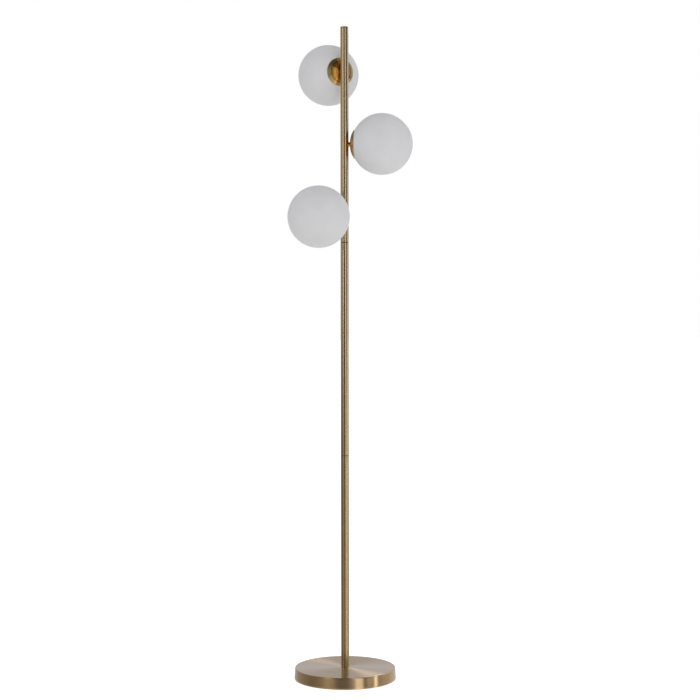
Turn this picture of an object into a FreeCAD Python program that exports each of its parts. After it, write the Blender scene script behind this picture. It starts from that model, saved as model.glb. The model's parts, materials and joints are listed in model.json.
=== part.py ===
import FreeCAD, Part
import math
import os
from types import SimpleNamespace

import Sketcher
from FreeCAD import Placement, Rotation, Vector

# A globe floor lamp: a weighted round base, a slim pole in three screwed lengths and three
# opal glass globes, each screwed on a gallery in a shallow dish on a short arm.
# Frame: the pole's axis is Z, the floor is Z = 0 and the middle head points along +X.
# Each head is drawn along +X from the pole's axis and then turned to its own bearing.

# Driving dimensions: lengths in millimetres, bearings in degrees from +X towards +Y.
DRIVING_SIZES = [
    ("overall_height", 1600, "floor to the top of the pole cap"),
    ("base_radius", 125, "lower edge of the base cover"),
    ("base_taper", 1.4, "top edge of the base cover inside its lower edge"),
    ("base_height", 28.6, "floor to the top of the base cover"),
    ("base_edge_round", 1.8, "rolled upper edge of the base cover"),
    ("cover_wall", 1, "spun sheet of the base cover"),
    ("cover_lift", 1, "floor to the lower edge of the cover"),
    ("pad_thickness", 2, "anti-slip pad"),
    ("pad_inset", 4, "pad's edge inside the cover's lower edge"),
    ("weight_gap", 5.6, "cast weight inside the cover's top edge"),
    ("base_room", 15.6, "room for the fixings between the pad and the weight's plate"),
    ("weight_rim", 12, "rim of the cast weight, measured inwards"),
    ("weight_draft", 1.2, "slope of the rim's inner wall for casting"),
    ("rib_width", 7, "ribs under the cast weight"),
    ("rib_start", 26, "inner end of the ribs, clear of a spanner"),
    ("channel_width", 14, "cord channel through the weight's rim"),
    ("channel_height", 13, "cord channel above the pad"),
    ("stud_radius", 6.95, "hollow threaded stud, outside"),
    ("stud_bore", 5.6, "hollow threaded stud, inside"),
    ("thread_gap", 0.05, "radial clearance between screwed pieces"),
    ("through_gap", 0.3, "radial clearance of the stud through the base"),
    ("stud_reach", 20, "stud inside the pole's foot"),
    ("base_nut_flats", 19, "hexagon nut under the weight, across flats"),
    ("base_nut_thickness", 4.5, "hexagon nut under the weight"),
    ("base_washer_radius", 16, "plain washer under the weight"),
    ("base_washer_thickness", 1.2, "plain washer under the weight"),
    ("lock_washer_radius", 11, "toothed washer under the weight"),
    ("lock_washer_thickness", 0.8, "toothed washers"),
    ("stud_tail", 0.8, "stud below its nut"),
    ("inlet_height", 9, "cord inlet above the floor"),
    ("inlet_bore", 3.5, "cord inlet, inside radius"),
    ("inlet_neck", 4.95, "inlet bush in the cover's hole"),
    ("inlet_flange", 7.4, "inlet bush's outer flange"),
    ("inlet_flange_thickness", 1.5, "inlet bush's outer flange"),
    ("inlet_barb", 6, "inlet bush's inner collar"),
    ("inlet_depth", 6, "inlet bush inside the base radius"),
    ("pole_radius", 10, "outside of the pole"),
    ("pole_wall", 1, "tube of the pole"),
    ("joint_flange", 0.5, "flange of each joint insert"),
    ("joint_recess", 0.5, "joint flanges inside the pole's surface"),
    ("insert_length", 24, "threaded inserts in the tubes' ends"),
    ("joint_plug", 14, "plug of the upper joint insert"),
    ("joint_thread", 16, "screwed length at each pole joint"),
    ("tube_edge", 0.3, "chamfer at the tubes' ends"),
    ("cap_head", 3.4, "pole cap above the tube"),
    ("cap_stem", 9, "pole cap's stem inside the tube"),
    ("cap_edge", 0.9, "chamfer round the pole cap"),
    ("top_head_drop", 106.5, "top of the pole down to the top head's arm"),
    ("head_pitch", 180, "each head's arm above the next"),
    ("top_bearing", 122.4, "top head"),
    ("middle_bearing", 0, "middle head"),
    ("low_bearing", 234.3, "low head"),
    ("globe_radius", 75, "outside of the globe"),
    ("globe_wall", 2.5, "opal glass"),
    ("arm_radius", 5.75, "neck between pole and dish"),
    ("arm_thread", 4.95, "threaded end of the arm"),
    ("arm_bore", 3, "hole for the lead through the arm"),
    ("arm_entry", 0.3, "arm's thread inside the tube's wall"),
    ("neck_length", 4.6, "pole's surface to the back of the dish"),
    ("dish_wall", 0.8, "spun sheet of the dish"),
    ("dish_flat", 8.5, "flat middle of the dish"),
    ("dish_dome", 37.8, "radius of the dish's dome in section"),
    ("band_width", 9, "outer band of the dish"),
    ("dish_step", 0.35, "small step between dome and band"),
    ("dish_radius", 35, "outside of the dish"),
    ("rim_lip", 1.8, "straight edge of the dish's rim"),
    ("rim_gap", 0.87, "dish's rim to the glass, along the arm"),
    ("dish_round", 2.5, "outer rounding of the dish's rim"),
    ("gallery_radius", 17.95, "outside of the threaded gallery"),
    ("gallery_wall", 1.75, "threaded wall of the gallery"),
    ("gallery_floor", 1.5, "floor of the gallery"),
    ("gallery_wall_height", 8.3, "threaded wall above the gallery's floor"),
    ("collar_start", 0.3, "globe collar above the gallery's floor"),
    ("collar_wall", 3.2, "sleeve of the globe collar"),
    ("collar_flange_width", 1.5, "globe collar's flange beyond the mouth"),
    ("collar_flange_thickness", 1.35, "globe collar's flange"),
    ("collar_flange_gap", 0.64, "globe collar's flange to the dish"),
    ("collar_gap", 0.3, "glue gap between collar and glass"),
    ("collar_length", 9, "globe collar along the arm"),
    ("gasket_inset", 3.6, "gasket inside the dish's rim"),
    ("gasket_width", 3.4, "gasket from its inner to its outer edge"),
    ("gasket_thickness", 0.9, "gasket along the arm"),
    ("gasket_gap", 0.34, "clearance between gasket and dish"),
    ("arm_nut_flats", 14, "hexagon nut in the gallery, across flats"),
    ("arm_nut_thickness", 4, "hexagon nut in the gallery"),
    ("arm_washer_radius", 8.4, "toothed washer in the gallery"),
    ("thread_tail", 0.8, "arm's thread beyond its nut"),
    ("bracket_sheet", 0.8, "lampholder bracket"),
    ("bracket_width", 13, "lampholder bracket"),
    ("bracket_leg", 16, "legs of the lampholder bracket"),
    ("holder_width", 23.8, "ceramic lampholder between the legs"),
    ("holder_height", 15, "ceramic lampholder across the legs"),
    ("holder_length", 18, "ceramic lampholder along the arm"),
    ("holder_gap", 1.5, "arm's end to the lampholder"),
    ("holder_round", 3, "corners of the lampholder"),
    ("holder_screw_place", 4.5, "side screws from the lampholder's back"),
    ("screw_radius", 1.5, "small screws"),
    ("screw_gap", 0.1, "radial clearance of small screws"),
    ("screw_head", 2.5, "small screws' heads"),
    ("screw_head_height", 1.5, "small screws' heads"),
    ("screw_bite", 4, "side screws inside the lampholder"),
    ("pin_spacing", 9, "centres of the bulb's two pins"),
    ("pin_wire", 0.5, "radius of the pins' wire"),
    ("pin_half_width", 1.2, "pin loop's centre line from its middle"),
    ("pin_length", 12, "pins beyond the bulb's base"),
    ("slot_gap", 0.4, "clearance round a pin in its slot"),
    ("slot_depth", 14, "slots in the lampholder"),
    ("bulb_gap", 0.4, "lampholder's face to the bulb's base"),
    ("bulb_radius", 8, "bulb"),
    ("bulb_base_length", 13.6, "bulb's base along the arm"),
    ("bulb_length", 48, "bulb without its pins"),
    ("bulb_wall", 1, "bulb's envelope"),
    ("lead_radius", 1.3, "two-core lead"),
    ("lead_offset", 4, "leads from the pole's axis, on the side away from their arm"),
    ("lead_top_bend", 12, "lead's bend from arm to pole"),
    ("lead_base_bend", 5, "lead's bend from pole to base"),
    ("lead_turn", 12, "lead's bend inside the base"),
    ("block_start", 52, "pole's axis to the terminal block"),
    ("block_length", 18, "terminal block away from the pole"),
    ("block_width", 20, "terminal block"),
    ("block_height", 14.4, "terminal block"),
    ("block_well", 3, "recess for the block's fixing screw"),
    ("lead_entry", 3, "leads inside the terminal block"),
    ("lead_entry_gap", 0.4, "radial clearance of a lead in the block"),
    ("lead_pitch", 4.6, "leads side by side at the terminal block"),
    ("terminal_radius", 1.7, "clamp screws of the terminal block"),
    ("terminal_pitch", 8, "two poles of the terminal block"),
    ("terminal_rows", 9, "clamp screws on the two sides of the block"),
    ("terminal_depth", 4, "clamp screws below the block's face"),
]

RIBS = 6
WASHER_TEETH = 10


class Size:
    """A number and the sheet formula that it comes from."""

    def __init__(self, value, formula):
        self.value = float(value)
        self.formula = formula

    def __add__(self, other):
        other = as_size(other)
        return Size(self.value + other.value, f"({self.formula} + {other.formula})")

    def __sub__(self, other):
        other = as_size(other)
        return Size(self.value - other.value, f"({self.formula} - {other.formula})")

    def __mul__(self, other):
        other = as_size(other)
        return Size(self.value * other.value, f"({self.formula} * {other.formula})")

    def __truediv__(self, other):
        other = as_size(other)
        return Size(self.value / other.value, f"({self.formula} / {other.formula})")

    def __neg__(self):
        return Size(-self.value, f"(-1 * {self.formula})")


class Free(Size):
    """A coordinate that an arc settles: only its starting guess is given."""

    def __init__(self, guess):
        super().__init__(guess, "")


def as_size(number):
    return number if isinstance(number, Size) else Size(number, repr(float(number)))


def height_of_arc(radius, across):
    """How far a point of an arc lies beyond its centre, at a distance across from it."""
    square = radius * radius - across * across
    return Size(math.sqrt(square.value), f"sqrt({square.formula})")


def make_sheet(document):
    sheet = document.addObject("Spreadsheet::Sheet", "Sizes")
    for row, (name, number, meaning) in enumerate(DRIVING_SIZES, start=1):
        sheet.set(f"A{row}", name)
        sheet.set(f"B{row}", str(number))
        sheet.set(f"C{row}", meaning)
        sheet.setAlias(f"B{row}", name)
    document.recompute()
    return SimpleNamespace(
        **{name: Size(number, f"Sizes.{name}") for name, number, _ in DRIVING_SIZES}
    )


doc = FreeCAD.newDocument("GlobeFloorLamp")
size = make_sheet(doc)
NOUGHT = as_size(0)
subparts = []


# ---- Sketches and features --------------------------------------------------------------


def new_body(label, is_subpart=True):
    body = doc.addObject("PartDesign::Body", label)
    body.Label = label
    if is_subpart:
        subparts.append(body)
    return body


def new_sketch(body, name, role="XZ_Plane", lift=None):
    """A sketch on one of the body's origin planes, lifted along the plane's normal."""
    plane = next(item for item in body.Origin.OriginFeatures if item.Role == role)
    sketch = body.newObject("Sketcher::SketchObject", name)
    sketch.AttachmentSupport = [(plane, "")]
    sketch.MapMode = "FlatFace"
    if lift is not None:
        sketch.AttachmentOffset = Placement(Vector(0, 0, lift.value), Rotation())
        sketch.setExpression("AttachmentOffset.Base.z", lift.formula)
    return sketch


def set_size(item, property_name, amount):
    amount = as_size(amount)
    item.setExpression(property_name, amount.formula)


def pin_point(sketch, geometry, point, across, along):
    """Tie a sketch point to its two coordinates, leaving out any that is Free."""
    for kind, axis, amount in (("DistanceX", -2, across), ("DistanceY", -1, along)):
        amount = as_size(amount)
        if isinstance(amount, Free):
            continue
        if amount.value == 0:
            sketch.addConstraint(Sketcher.Constraint("PointOnObject", geometry, point, axis))
            continue
        number = sketch.addConstraint(
            Sketcher.Constraint(kind, -1, 1, geometry, point, amount.value)
        )
        sketch.setExpression(f"Constraints[{number}]", amount.formula)


def draw_outline(sketch, corners, arcs=None):
    """A closed outline through corners. arcs gives (centre across, centre along, radius,
    turns left) for each corner number where an arc starts instead of a straight line."""
    arcs = arcs or {}
    count = len(corners)
    ends = []
    for number, (across, along) in enumerate(corners):
        start = Vector(as_size(across).value, as_size(along).value, 0)
        next_across, next_along = corners[(number + 1) % count]
        end = Vector(as_size(next_across).value, as_size(next_along).value, 0)
        if number not in arcs:
            geometry = sketch.addGeometry(Part.LineSegment(start, end), False)
            ends.append((geometry, 1, 2))
            continue
        centre_across, centre_along, radius, turns_left = arcs[number]
        centre = Vector(as_size(centre_across).value, as_size(centre_along).value, 0)
        start_angle = math.atan2(start.y - centre.y, start.x - centre.x)
        end_angle = math.atan2(end.y - centre.y, end.x - centre.x)
        circle = Part.Circle(centre, Vector(0, 0, 1), as_size(radius).value)
        if turns_left:
            arc = Part.ArcOfCircle(circle, start_angle, end_angle)
            ends.append((sketch.addGeometry(arc, False), 1, 2))
        else:
            arc = Part.ArcOfCircle(circle, end_angle, start_angle)
            ends.append((sketch.addGeometry(arc, False), 2, 1))
    for number, (geometry, _, last) in enumerate(ends):
        following, first, _ = ends[(number + 1) % count]
        sketch.addConstraint(
            Sketcher.Constraint("Coincident", geometry, last, following, first)
        )
    for number, (across, along) in enumerate(corners):
        geometry, first, _ = ends[number]
        pin_point(sketch, geometry, first, across, along)
    for number, (centre_across, centre_along, radius, _) in arcs.items():
        geometry = ends[number][0]
        pin_point(sketch, geometry, 3, centre_across, centre_along)
        add_radius(sketch, geometry, radius)


def add_radius(sketch, geometry, radius):
    radius = as_size(radius)
    if isinstance(radius, Free):
        return
    number = sketch.addConstraint(Sketcher.Constraint("Radius", geometry, radius.value))
    sketch.setExpression(f"Constraints[{number}]", radius.formula)


def draw_circle(sketch, across, along, radius):
    centre = Vector(as_size(across).value, as_size(along).value, 0)
    circle = Part.Circle(centre, Vector(0, 0, 1), as_size(radius).value)
    geometry = sketch.addGeometry(circle, False)
    pin_point(sketch, geometry, 3, across, along)
    add_radius(sketch, geometry, radius)


def draw_rectangle(sketch, left, right, low, high):
    draw_outline(sketch, [(left, low), (right, low), (right, high), (left, high)])


def turn(body, name, sketch, axis, cuts=False):
    """Revolve a sketch about its own H_Axis (along an arm) or V_Axis (up the pole)."""
    kind = "PartDesign::Groove" if cuts else "PartDesign::Revolution"
    feature = body.newObject(kind, name)
    feature.Profile = sketch
    feature.ReferenceAxis = (sketch, [axis])
    feature.Angle = 360
    return feature


def pad(body, name, sketch, length, symmetric=False):
    feature = body.newObject("PartDesign::Pad", name)
    feature.Profile = sketch
    set_size(feature, "Length", length)
    if symmetric:
        feature.SideType = "Symmetric"
    return feature


def pocket(body, name, sketch, length, along_normal=True):
    """Cut from a sketch, along its normal or against it, and insist that it removes something."""
    before = body.Tip
    feature = body.newObject("PartDesign::Pocket", name)
    feature.Profile = sketch
    feature.Reversed = along_normal
    set_size(feature, "Length", length)
    doc.recompute()
    if feature.Shape.Volume > before.Shape.Volume - 1e-3:
        raise RuntimeError(f"{body.Label}: {name} cuts nothing")
    return feature


def ring_edges(shape, axis, place, radius):
    """Names of the round edges about an axis (0 for X, 2 for Z) at one place and radius."""
    names = []
    for number, edge in enumerate(shape.Edges, start=1):
        curve = edge.Curve
        if not isinstance(curve, Part.Circle):
            continue
        direction = (curve.Axis.x, curve.Axis.y, curve.Axis.z)[axis]
        centre = (curve.Center.x, curve.Center.y, curve.Center.z)[axis]
        same_place = abs(centre - place.value) < 1e-4
        if abs(direction) > 0.999 and same_place and abs(curve.Radius - radius.value) < 1e-4:
            names.append(f"Edge{number}")
    return names


def soften_rings(body, kind, name, amount, axis, rings):
    """Fillet or Chamfer the round edges given as (place along the axis, radius)."""
    doc.recompute()
    before = body.Tip
    edges = []
    for place, radius in rings:
        found = ring_edges(before.Shape, axis, place, radius)
        if not found:
            raise RuntimeError(f"{body.Label}: {name} finds no edge")
        edges += found
    feature = body.newObject(f"PartDesign::{kind}", name)
    feature.Base = (before, edges)
    set_size(feature, "Radius" if kind == "Fillet" else "Size", amount)
    return feature


def lift_to(item, height):
    item.Placement = Placement(Vector(0, 0, height.value), Rotation())
    item.setExpression("Placement.Base.z", height.formula)


def place_on_arm(item, height, bearing):
    """Turn a piece drawn along +X to an arm's bearing and raise it to the arm's height."""
    item.Placement = Placement(
        Vector(0, 0, height.value), Rotation(Vector(0, 0, 1), bearing.value)
    )
    item.setExpression("Placement.Base.z", height.formula)
    item.setExpression("Placement.Rotation.Angle", f"{bearing.formula} * 1 deg")


def group(label, members):
    compound = doc.addObject("Part::Compound", label)
    compound.Label = label
    compound.Links = members
    subparts.append(compound)
    return compound


def ring_of(body, name, axis, inner, outer, start, end):
    """A plain turned ring: between two radii and two places on the axis."""
    sketch = new_sketch(body, f"{name}_section")
    if axis == "H_Axis":
        draw_rectangle(sketch, start, end, inner, outer)
    else:
        draw_rectangle(sketch, inner, outer, start, end)
    return turn(body, name, sketch, axis)


def hexagon_nut(label, flats, thickness, bore, is_subpart=True, role="XY_Plane"):
    """A nut on its own origin plane with its corners turned down at both faces."""
    body = new_body(label, is_subpart)
    sketch = new_sketch(body, f"{label}_flats", role)
    corner = flats / math.sqrt(3)
    half = corner / 2
    side = flats / 2
    corners = [
        (corner, NOUGHT),
        (half, side),
        (-half, side),
        (-corner, NOUGHT),
        (-half, -side),
        (half, -side),
    ]
    draw_outline(sketch, corners)
    draw_circle(sketch, NOUGHT, NOUGHT, bore)
    pad(body, f"{label}_block", sketch, thickness)
    about = "V_Axis" if role == "XY_Plane" else "H_Axis"
    rim = new_sketch(body, f"{label}_chamfers")
    touch = side * 0.98
    drop = (corner - touch) * 0.5
    beyond = corner * 1.1
    fall = (beyond - touch) * 0.5
    low_cut = [(touch, NOUGHT), (beyond, NOUGHT), (beyond, fall)]
    high_cut = [(touch, thickness), (beyond, thickness - fall), (beyond, thickness)]
    if thickness.value < 2 * drop.value:
        raise RuntimeError(f"{label}: too thin for its chamfers")
    for cut in (low_cut, high_cut):
        draw_outline(rim, cut if about == "V_Axis" else [(b, a) for a, b in cut])
    turn(body, f"{label}_turned_corners", rim, about, cuts=True)
    return body


def toothed_washer(label, outer, bore, thickness, is_subpart=True, role="XY_Plane"):
    """A lock washer with notches between its outer teeth."""
    body = new_body(label, is_subpart)
    blank = new_sketch(body, f"{label}_blank", role)
    draw_circle(blank, NOUGHT, NOUGHT, outer)
    draw_circle(blank, NOUGHT, NOUGHT, bore)
    pad(body, f"{label}_disc", blank, thickness)
    doc.recompute()
    notch = new_sketch(body, f"{label}_notch", role)
    notch_depth = (outer - bore) * 0.4
    draw_circle(notch, outer + notch_depth * 0.2, NOUGHT, notch_depth)
    cut = pocket(body, f"{label}_notch_cut", notch, thickness)
    teeth = body.newObject("PartDesign::PolarPattern", f"{label}_teeth")
    teeth.Originals = [cut]
    teeth.Axis = (notch, ["N_Axis"])
    teeth.Angle = 360
    teeth.Occurrences = WASHER_TEETH
    body.Tip = teeth
    return body


# ---- Places up the pole and along an arm ------------------------------------------------

cover_under = size.base_height - size.cover_wall
cover_top_radius = size.base_radius - size.base_taper
web_under = size.pad_thickness + size.base_room
weight_radius = cover_top_radius - size.weight_gap
rim_inner = weight_radius - size.weight_rim
stud_hole = size.stud_radius + size.through_gap
washer_under = web_under - size.base_washer_thickness
lock_washer_under = washer_under - size.lock_washer_thickness
base_nut_under = lock_washer_under - size.base_nut_thickness
stud_foot = base_nut_under - size.stud_tail
lead_level = stud_foot - size.lead_base_bend
threaded_bore = size.stud_radius + size.thread_gap
tube_bore = size.pole_radius - size.pole_wall
joint_radius = size.pole_radius - size.joint_recess
pole_top = size.overall_height - size.cap_head
tube_length = (pole_top - size.base_height - size.joint_flange * 4) / 3
first_joint = size.base_height + tube_length + size.joint_flange
second_joint = first_joint + tube_length + size.joint_flange * 2
top_height = size.overall_height - size.top_head_drop
middle_height = top_height - size.head_pitch
low_height = middle_height - size.head_pitch

dish_start = size.pole_radius + size.neck_length
dish_inside = dish_start + size.dish_wall
dish_band = size.dish_radius - size.band_width
dome_centre = dish_start + size.dish_dome
inner_dome = size.dish_dome - size.dish_wall
dome_edge = dome_centre - height_of_arc(size.dish_dome, dish_band - size.dish_flat)
inner_edge = dome_centre - height_of_arc(inner_dome, dish_band - size.dish_flat)
inner_rim = size.dish_radius - size.dish_wall

collar_bore = size.gallery_radius + size.thread_gap
sleeve_radius = collar_bore + size.collar_wall
mouth_radius = sleeve_radius + size.collar_gap
collar_flange = mouth_radius + size.collar_flange_width
dish_at_flange = dome_centre - height_of_arc(inner_dome, collar_flange - size.dish_flat)
collar_place = dish_at_flange + size.collar_flange_gap
gallery_bore = size.gallery_radius - size.gallery_wall
gallery_floor_end = collar_place - size.collar_start
gallery_floor_start = gallery_floor_end - size.gallery_floor
gallery_end = gallery_floor_end + size.gallery_wall_height

outer_lip = collar_place + size.collar_flange_thickness
globe_reach = outer_lip + height_of_arc(size.globe_radius, mouth_radius)
globe_inside = size.globe_radius - size.globe_wall
inner_lip = globe_reach - height_of_arc(globe_inside, mouth_radius)
rim_place = globe_reach - height_of_arc(size.globe_radius, size.dish_radius) - size.rim_gap
shoulder_place = rim_place - size.rim_lip
gasket_outer = inner_rim - size.gasket_inset
gasket_inner = gasket_outer - size.gasket_width

arm_start = tube_bore - size.arm_entry
arm_hole = size.arm_thread + size.thread_gap
bracket_front = gallery_floor_end + size.bracket_sheet
arm_nut_place = bracket_front + size.lock_washer_thickness
arm_end = arm_nut_place + size.arm_nut_thickness + size.thread_tail
holder_back = arm_end + size.holder_gap
holder_front = holder_back + size.holder_length
bulb_back = holder_front + size.bulb_gap
bulb_middle = bulb_back + size.bulb_base_length
bulb_tip = bulb_back + size.bulb_length

HEADS = [
    ("top", top_height, size.top_bearing),
    ("middle", middle_height, size.middle_bearing),
    ("low", low_height, size.low_bearing),
]


# ---- Base -------------------------------------------------------------------------------


def base_cover():
    """Spun cover: flat top, slightly tapered side with a rolled upper edge, rear cord hole."""
    body = new_body("base_cover")
    sketch = new_sketch(body, "cover_section")
    corners = [
        (stud_hole, size.base_height),
        (cover_top_radius, size.base_height),
        (size.base_radius, size.cover_lift),
        (size.base_radius - size.cover_wall, size.cover_lift),
        (cover_top_radius - size.cover_wall, cover_under),
        (stud_hole, cover_under),
    ]
    draw_outline(sketch, corners)
    turn(body, "cover_shell", sketch, "V_Axis")
    outer_edge = [(size.base_height, cover_top_radius)]
    soften_rings(body, "Fillet", "cover_rolled_edge", size.base_edge_round, 2, outer_edge)
    inner_edge_ring = [(cover_under, cover_top_radius - size.cover_wall)]
    inner_round = size.base_edge_round - size.cover_wall
    soften_rings(body, "Fillet", "cover_inner_edge", inner_round, 2, inner_edge_ring)
    hole = new_sketch(body, "cord_hole_outline")
    draw_circle(hole, NOUGHT, size.inlet_height, size.inlet_neck + size.thread_gap)
    pocket(body, "cord_hole", hole, size.base_radius + 1, along_normal=False)


def base_weight():
    """Cast iron weight: plate, deep rim, six ribs, stud hole and a cord channel at the rear."""
    body = new_body("base_weight")
    sketch = new_sketch(body, "weight_section")
    corners = [
        (stud_hole, web_under),
        (rim_inner, web_under),
        (rim_inner + size.weight_draft, size.pad_thickness),
        (weight_radius, size.pad_thickness),
        (weight_radius, cover_under),
        (stud_hole, cover_under),
    ]
    draw_outline(sketch, corners)
    turn(body, "weight_casting", sketch, "V_Axis")
    soften_rings(body, "Fillet", "weight_edge", 2, 2, [(cover_under, weight_radius)])
    rib = new_sketch(body, "rib_outline", "XY_Plane", size.pad_thickness)
    half = size.rib_width / 2
    draw_rectangle(rib, size.rib_start, rim_inner + size.weight_rim / 3, -half, half)
    rib_pad = pad(body, "rib", rib, web_under - size.pad_thickness)
    ribs = body.newObject("PartDesign::PolarPattern", "ribs")
    ribs.Originals = [rib_pad]
    ribs.Axis = (rib, ["N_Axis"])
    ribs.Angle = 360
    ribs.Occurrences = RIBS
    body.Tip = ribs
    doc.recompute()
    channel = new_sketch(body, "channel_outline", "XY_Plane", size.pad_thickness)
    half = size.channel_width / 2
    draw_rectangle(channel, -half, half, rim_inner - 2, weight_radius + 2)
    pocket(body, "cord_channel", channel, size.channel_height)


def base_pad():
    body = new_body("base_pad")
    sketch = new_sketch(body, "pad_outline", "XY_Plane")
    radius = size.base_radius - size.pad_inset
    draw_circle(sketch, NOUGHT, NOUGHT, radius)
    pad(body, "pad_disc", sketch, size.pad_thickness)
    soften_rings(body, "Chamfer", "pad_edge", size.pad_thickness / 4, 2, [(NOUGHT, radius)])


def base_fixings():
    """Hollow stud with its nut, plain washer and toothed washer under the weight."""
    stud = new_body("base_stud")
    stud_top = size.base_height + size.stud_reach
    ring_of(stud, "stud_tube", "V_Axis", size.stud_bore, size.stud_radius, stud_foot, stud_top)
    ends = [(stud_foot, size.stud_radius), (stud_top, size.stud_radius)]
    soften_rings(stud, "Chamfer", "stud_ends", 0.5, 2, ends)
    nut = hexagon_nut("base_nut", size.base_nut_flats, size.base_nut_thickness, threaded_bore)
    lift_to(nut, base_nut_under)
    washer = new_body("base_washer")
    outer = size.base_washer_radius
    ring_of(washer, "washer", "V_Axis", stud_hole, outer, washer_under, web_under)
    lock = toothed_washer(
        "base_lock_washer", size.lock_washer_radius, stud_hole, size.lock_washer_thickness
    )
    lift_to(lock, lock_washer_under)


def cord_inlet_bush():
    """Snap-in bush: outer flange, neck in the cover's hole and a tapered inner collar."""
    body = new_body("cord_inlet_bush")
    sketch = new_sketch(body, "bush_section")
    inner_end = size.base_radius - size.inlet_depth
    flange_end = size.base_radius + size.inlet_flange_thickness
    collar_start = size.base_radius - size.cover_wall - 1
    corners = [
        (inner_end, size.inlet_bore),
        (flange_end, size.inlet_bore),
        (flange_end, size.inlet_flange),
        (size.base_radius, size.inlet_flange),
        (size.base_radius, size.inlet_neck),
        (collar_start, size.inlet_neck),
        (collar_start, size.inlet_barb),
        (inner_end, size.inlet_neck - 0.5),
    ]
    draw_outline(sketch, corners)
    turn(body, "bush", sketch, "H_Axis")
    rim = [(flange_end, size.inlet_flange)]
    soften_rings(body, "Fillet", "bush_round", size.inlet_flange_thickness / 2, 0, rim)
    place_on_arm(body, size.inlet_height, as_size(90))


def terminal_block():
    """Two-pole terminal block under the weight's plate, with clamp screws and a fixing screw."""
    block_low = web_under - size.block_height
    block_end = size.block_start + size.block_length
    middle = size.block_start + size.block_length / 2
    rows = [middle - size.terminal_rows / 2, middle + size.terminal_rows / 2]
    columns = [-size.terminal_pitch / 2, size.terminal_pitch / 2]
    screw_hole = size.terminal_radius + size.screw_gap

    body = new_body("terminal_block")
    outline = new_sketch(body, "block_outline", "XY_Plane", block_low)
    half = size.block_width / 2
    draw_rectangle(outline, -half, half, size.block_start, block_end)
    pad(body, "block", outline, size.block_height)
    doc.recompute()
    wells = new_sketch(body, "screw_wells", "XY_Plane", block_low)
    for column in columns:
        for row in rows:
            draw_circle(wells, column, row, screw_hole)
    pocket(body, "clamp_wells", wells, size.terminal_depth)
    fixing = new_sketch(body, "fixing_hole_outline", "XY_Plane", block_low)
    draw_circle(fixing, NOUGHT, middle, size.screw_radius)
    pocket(body, "fixing_hole", fixing, size.block_height)
    well = new_sketch(body, "fixing_well_outline", "XY_Plane", block_low)
    draw_circle(well, NOUGHT, middle, size.screw_head + size.screw_gap)
    pocket(body, "fixing_well", well, size.block_well)
    entries = new_sketch(body, "lead_entries", "XZ_Plane", -size.block_start)
    for place in (-size.lead_pitch, NOUGHT, size.lead_pitch):
        draw_circle(entries, place, lead_level, size.lead_radius + size.lead_entry_gap)
    pocket(body, "lead_entry_holes", entries, size.lead_entry, along_normal=False)

    screws = []
    for column in columns:
        for row in rows:
            screw = doc.addObject("Part::Cylinder", "terminal_screw")
            screw.setExpression("Radius", size.terminal_radius.formula)
            screw.setExpression("Height", (size.terminal_depth - 0.5).formula)
            screw.Placement.Base = Vector(column.value, row.value, block_low.value + 0.5)
            screw.setExpression("Placement.Base.x", column.formula)
            screw.setExpression("Placement.Base.y", row.formula)
            screw.setExpression("Placement.Base.z", (block_low + 0.5).formula)
            screws.append(screw)
    group("terminal_screws", screws)

    fixing_screw = new_body("terminal_block_screw")
    sketch = new_sketch(fixing_screw, "fixing_screw_section")
    head_top = block_low + size.block_well
    head_low = head_top - size.screw_head_height
    corners = [
        (NOUGHT, head_low),
        (size.screw_head, head_low),
        (size.screw_head, head_top),
        (size.screw_radius, head_top),
        (size.screw_radius, web_under),
        (NOUGHT, web_under),
    ]
    draw_outline(sketch, corners)
    turn(fixing_screw, "fixing_screw", sketch, "V_Axis")
    fixing_screw.Placement = Placement(Vector(0, middle.value, 0), Rotation())
    fixing_screw.setExpression("Placement.Base.y", middle.formula)


# ---- Pole -------------------------------------------------------------------------------


def pole_tube(label, start):
    """One length of tube, its ends chamfered, with a hole for each arm that it carries."""
    body = new_body(label)
    end = start + tube_length
    arms = [head for head in HEADS if start.value < head[1].value < end.value]
    ring_of(body, f"{label}_tube", "V_Axis", tube_bore, size.pole_radius, start, end)
    edges = [(start, size.pole_radius), (end, size.pole_radius)]
    soften_rings(body, "Chamfer", f"{label}_ends", size.tube_edge, 2, edges)
    doc.recompute()
    for name, height, bearing in arms:
        hole = new_sketch(body, f"{name}_arm_hole_outline", "YZ_Plane")
        hole.AttachmentOffset = Placement(Vector(), Rotation(Vector(0, 1, 0), bearing.value))
        hole.setExpression("AttachmentOffset.Rotation.Angle", f"{bearing.formula} * 1 deg")
        draw_circle(hole, NOUGHT, height, arm_hole)
        pocket(body, f"{name}_arm_hole", hole, size.pole_radius + 1)


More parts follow.
